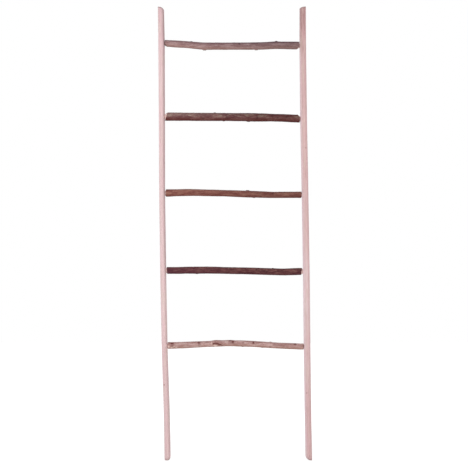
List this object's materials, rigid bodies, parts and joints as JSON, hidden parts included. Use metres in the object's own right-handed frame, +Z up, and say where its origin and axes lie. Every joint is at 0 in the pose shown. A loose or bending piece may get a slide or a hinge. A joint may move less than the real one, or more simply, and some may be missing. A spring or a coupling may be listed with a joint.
{
  "type": "blanket ladder",
  "caption": "Leaning ladder for hanging blankets: half-round peeled poles joined by branch rungs with the bark left on, tenoned and glued into blind bores.",
  "frame": {"origin": "on the floor, midway between the rails' outermost flat faces and midway from front to back", "axes": "+X to the right across the ladder, +Y to the back (towards the wall it leans on), +Z up along the rails"},
  "size_m": [0.6116, 0.051, 1.8],
  "materials": {
    "peeled_pole": "raw, sawn and peeled",
    "branch_wood": "raw, pared with a knife",
    "bark_1": "rough bark, grey brown",
    "bark_2": "rough bark, dark brown",
    "bark_3": "smooth bark, reddish brown",
    "bark_4": "smooth bark, dark maroon",
    "bark_5": "knobbly bark, pale brown"
  },
  "bodies": {
    "root": {"rail_left": "peeled_pole", "rail_right": "peeled_pole", "rung_1": "branch_wood", "rung_2": "branch_wood", "rung_3": "branch_wood", "rung_4": "branch_wood", "rung_5": "branch_wood", "bark_1": "bark_1", "bark_2": "bark_2", "bark_3": "bark_3", "bark_4": "bark_4", "bark_5": "bark_5"}
  },
  "joints": []
}
